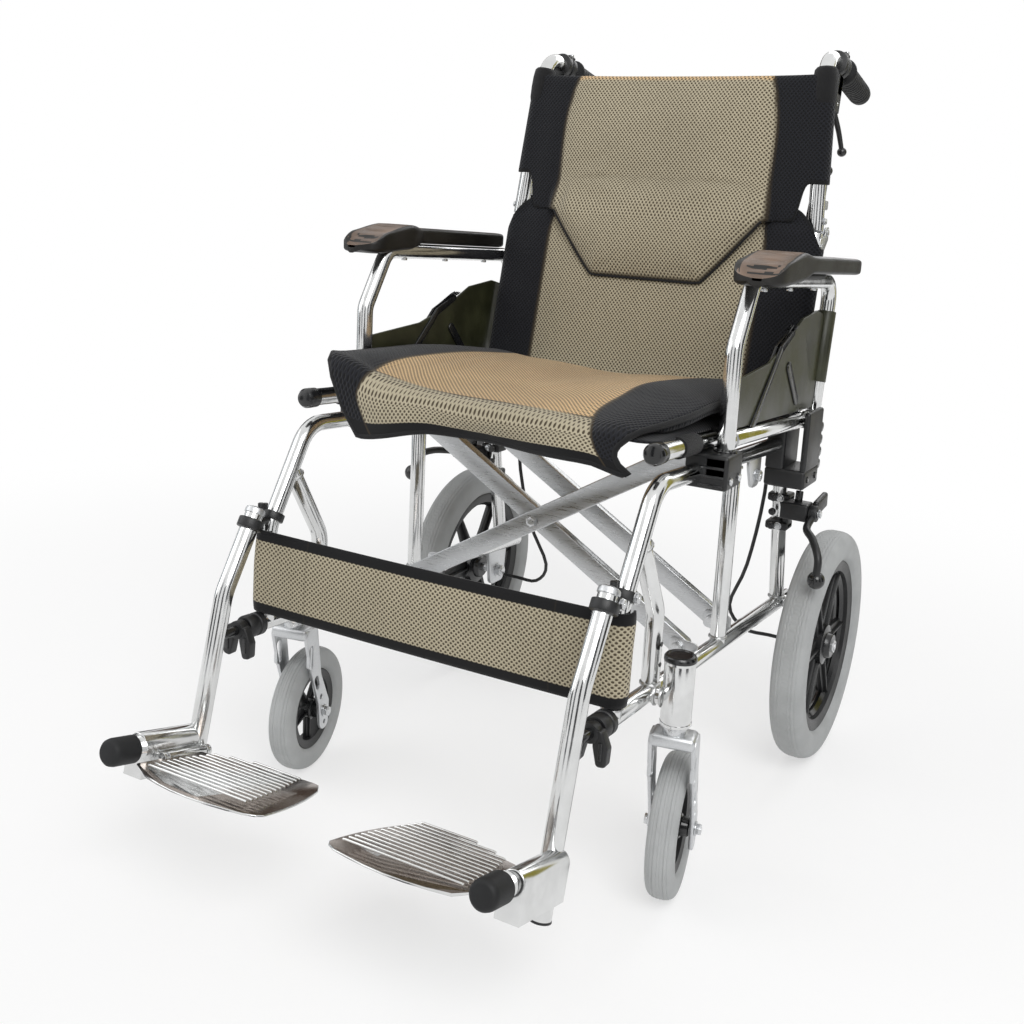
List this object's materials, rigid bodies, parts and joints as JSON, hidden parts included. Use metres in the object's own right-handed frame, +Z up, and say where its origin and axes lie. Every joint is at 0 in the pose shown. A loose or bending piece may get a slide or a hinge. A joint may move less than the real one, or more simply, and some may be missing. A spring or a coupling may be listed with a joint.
{
  "type": "travel wheelchair",
  "caption": "Folding attendant wheelchair with fold-down back, flip-up arms, swing-away hangers, grey tyres and a mesh seat.",
  "frame": {"origin": "on the ground under the middle of the chair", "axes": "+X to the sitter's left, -Y forward, +Z up"},
  "size_m": [0.586, 0.9882, 0.9194],
  "materials": {
    "polished_aluminium": "polished, slightly worn",
    "brushed_aluminium": "brushed satin",
    "grey_tyre": "pale grey solid polyurethane",
    "black_plastic": "fine moulded grain",
    "black_rubber": "soft matt",
    "tan_mesh": "tan spacer mesh with black mesh wings and binding",
    "zinc": "bright zinc plate"
  },
  "bodies": {
    "left_frame": {"side_frame_left": "polished_aluminium", "front_socket_left": "black_plastic", "rear_block_left": "black_plastic", "lower_cane_left": "polished_aluminium", "park_bracket_left": "black_plastic", "catch_body_left": "black_plastic", "brake_cable_left": "black_rubber", "back_lower": "tan_mesh", "calf_strap": "tan_mesh"},
    "right_frame": {"side_frame_right": "polished_aluminium", "front_socket_right": "black_plastic", "rear_block_right": "black_plastic", "lower_cane_right": "polished_aluminium", "park_bracket_right": "black_plastic", "catch_body_right": "black_plastic", "brake_cable_right": "black_rubber"},
    "cross_bars_rear": {"cross_b": "brushed_aluminium"},
    "cross_bars_front": {"cross_a": "brushed_aluminium", "seat": "tan_mesh"},
    "hanger_left": {"hanger_left": "polished_aluminium", "footplate_block_left": "polished_aluminium", "bumper_left": "black_rubber"},
    "hanger_right": {"hanger_right": "polished_aluminium", "footplate_block_right": "polished_aluminium", "bumper_right": "black_rubber"},
    "footplate_left": {"footplate_left": "polished_aluminium"},
    "footplate_right": {"footplate_right": "polished_aluminium"},
    "catch_lever_left": {"catch_lever_left": "black_plastic"},
    "catch_lever_right": {"catch_lever_right": "black_plastic"},
    "armrest_left": {"armrest_left": "polished_aluminium", "armrest_pad_left": "black_rubber", "skirt_panel_left": "black_plastic"},
    "armrest_right": {"armrest_right": "polished_aluminium", "armrest_pad_right": "black_rubber", "skirt_panel_right": "black_plastic"},
    "back_left": {"upper_cane_left": "polished_aluminium", "hand_grip_left": "black_rubber", "brake_mount_left": "black_plastic", "back_upper": "tan_mesh"},
    "back_right": {"upper_cane_right": "polished_aluminium", "hand_grip_right": "black_rubber", "brake_mount_right": "black_plastic"},
    "brake_lever_left": {"brake_lever_left": "black_plastic"},
    "brake_lever_right": {"brake_lever_right": "black_plastic"},
    "fold_latch_left": {"fold_latch_left": "black_plastic"},
    "fold_latch_right": {"fold_latch_right": "black_plastic"},
    "park_lever_left": {"park_lever_left": "black_plastic"},
    "park_lever_right": {"park_lever_right": "black_plastic"},
    "caster_swivel_left": {"caster_fork_left": "brushed_aluminium", "caster_axle_left": "zinc"},
    "caster_swivel_right": {"caster_fork_right": "brushed_aluminium", "caster_axle_right": "zinc"},
    "caster_roll_left": {"caster_tyre_left": "grey_tyre", "caster_wheel_left": "black_plastic"},
    "caster_roll_right": {"caster_tyre_right": "grey_tyre", "caster_wheel_right": "black_plastic"},
    "rear_wheel_left": {"rear_tyre_left": "grey_tyre", "rear_wheel_left": "black_plastic"},
    "rear_wheel_right": {"rear_tyre_right": "grey_tyre", "rear_wheel_right": "black_plastic"}
  },
  "joints": [
    {"name": "fold", "type": "hinge", "parent": "left_frame", "child": "cross_bars_rear", "pos_m": [0.19, 0, 0.2292], "axis": [0, 1, 0], "range_deg": [0, 42], "deforming": ["seat", "back_upper", "back_lower", "calf_strap"]},
    {"name": "cross_pivot", "type": "hinge", "parent": "cross_bars_rear", "child": "cross_bars_front", "pos_m": [0, 0, 0.3432], "axis": [0, 1, 0], "range_deg": [-84, 0]},
    {"name": "right_frame_pivot", "type": "hinge", "parent": "cross_bars_front", "child": "right_frame", "pos_m": [-0.19, 0, 0.2292], "axis": [0, 1, 0], "range_deg": [0, 42]},
    {"name": "hanger_swing_left", "type": "hinge", "parent": "left_frame", "child": "hanger_left", "pos_m": [0.2115, -0.28253, 0.368], "axis": [0, 0.5195, 0.8545], "range_deg": [0, 90]},
    {"name": "hanger_swing_right", "type": "hinge", "parent": "right_frame", "child": "hanger_right", "pos_m": [-0.2115, -0.28253, 0.368], "axis": [0, -0.5195, -0.8545], "range_deg": [0, 90]},
    {"name": "footplate_flip_left", "type": "hinge", "parent": "hanger_left", "child": "footplate_left", "pos_m": [0.197, -0.446, 0.14936], "axis": [0, 0.9678, -0.2516], "range_deg": [0, 76]},
    {"name": "footplate_flip_right", "type": "hinge", "parent": "hanger_right", "child": "footplate_right", "pos_m": [-0.197, -0.446, 0.14936], "axis": [0, -0.9678, 0.2516], "range_deg": [0, 76]},
    {"name": "catch_turn_left", "type": "hinge", "parent": "left_frame", "child": "catch_lever_left", "pos_m": [0.2135, -0.29862, 0.23991], "axis": [0, -0.9977, 0.0678], "range_deg": [0, 30], "stiffness_Nm_per_rad": 0.05, "springref_deg": -20.05},
    {"name": "catch_turn_right", "type": "hinge", "parent": "right_frame", "child": "catch_lever_right", "pos_m": [-0.2135, -0.29862, 0.23991], "axis": [0, -0.9977, 0.0678], "range_deg": [0, 30], "stiffness_Nm_per_rad": 0.05, "springref_deg": -20.05},
    {"name": "armrest_flip_left", "type": "hinge", "parent": "left_frame", "child": "armrest_left", "pos_m": [0.235, 0.226, 0.46], "axis": [-1, 0, 0], "range_deg": [0, 90]},
    {"name": "armrest_flip_right", "type": "hinge", "parent": "right_frame", "child": "armrest_right", "pos_m": [-0.235, 0.226, 0.46], "axis": [-1, 0, 0], "range_deg": [0, 90]},
    {"name": "back_fold_left", "type": "hinge", "parent": "left_frame", "child": "back_left", "pos_m": [0.213, 0.2945, 0.69], "axis": [-1, 0, 0], "range_deg": [0, 130], "deforming": ["brake_cable_left", "brake_cable_right"]},
    {"name": "back_fold_right", "type": "hinge", "parent": "right_frame", "child": "back_right", "pos_m": [-0.213, 0.2945, 0.69], "axis": [-1, 0, 0], "range_deg": [0, 130], "deforming": ["brake_cable_right"]},
    {"name": "brake_squeeze_left", "type": "hinge", "parent": "back_left", "child": "brake_lever_left", "pos_m": [0.198, 0.34768, 0.85212], "axis": [1, 0, 0], "range_deg": [0, 25], "stiffness_Nm_per_rad": 0.2, "springref_deg": -17.19},
    {"name": "brake_squeeze_right", "type": "hinge", "parent": "back_right", "child": "brake_lever_right", "pos_m": [-0.198, 0.34768, 0.85212], "axis": [1, 0, 0], "range_deg": [0, 25], "stiffness_Nm_per_rad": 0.2, "springref_deg": -17.19},
    {"name": "fold_latch_pull_left", "type": "hinge", "parent": "back_left", "child": "fold_latch_left", "pos_m": [0.21069, 0.29962, 0.724], "axis": [-1, 0, 0], "range_deg": [0, 16], "stiffness_Nm_per_rad": 0.1, "springref_deg": -17.19},
    {"name": "fold_latch_pull_right", "type": "hinge", "parent": "back_right", "child": "fold_latch_right", "pos_m": [-0.21069, 0.29962, 0.724], "axis": [-1, 0, 0], "range_deg": [0, 16], "stiffness_Nm_per_rad": 0.1, "springref_deg": -17.19},
    {"name": "park_brake_left", "type": "hinge", "parent": "left_frame", "child": "park_lever_left", "pos_m": [0.264, 0.216, 0.345], "axis": [1, 0, 0], "range_deg": [-71, 0]},
    {"name": "park_brake_right", "type": "hinge", "parent": "right_frame", "child": "park_lever_right", "pos_m": [-0.264, 0.216, 0.345], "axis": [1, 0, 0], "range_deg": [-33, 38]},
    {"name": "caster_swivel_left", "type": "hinge", "parent": "left_frame", "child": "caster_swivel_left", "pos_m": [0.246, -0.173, 0.207], "axis": [0, 0, 1], "continuous": true},
    {"name": "caster_swivel_right", "type": "hinge", "parent": "right_frame", "child": "caster_swivel_right", "pos_m": [-0.246, -0.173, 0.207], "axis": [0, 0, 1], "continuous": true},
    {"name": "caster_roll_left", "type": "hinge", "parent": "caster_swivel_left", "child": "caster_roll_left", "pos_m": [0.23913, -0.13766, 0.0765], "axis": [0.9816, 0.1908, 0], "continuous": true},
    {"name": "caster_roll_right", "type": "hinge", "parent": "caster_swivel_right", "child": "caster_roll_right", "pos_m": [-0.25287, -0.13766, 0.0765], "axis": [0.9816, 0.1908, 0], "continuous": true},
    {"name": "rear_roll_left", "type": "hinge", "parent": "left_frame", "child": "rear_wheel_left", "pos_m": [0.271, 0.283, 0.1525], "axis": [1, 0, 0], "continuous": true},
    {"name": "rear_roll_right", "type": "hinge", "parent": "right_frame", "child": "rear_wheel_right", "pos_m": [-0.271, 0.283, 0.1525], "axis": [1, 0, 0], "continuous": true}
  ],
  "couplings": [
    {"joint": "cross_pivot", "follows": "fold", "ratio": -2},
    {"joint": "right_frame_pivot", "follows": "fold", "ratio": 1},
    {"joint": "footplate_flip_left", "follows": "fold", "ratio": 1.8},
    {"joint": "footplate_flip_right", "follows": "fold", "ratio": 1.8},
    {"joint": "back_fold_right", "follows": "back_fold_left", "ratio": 1}
  ]
}
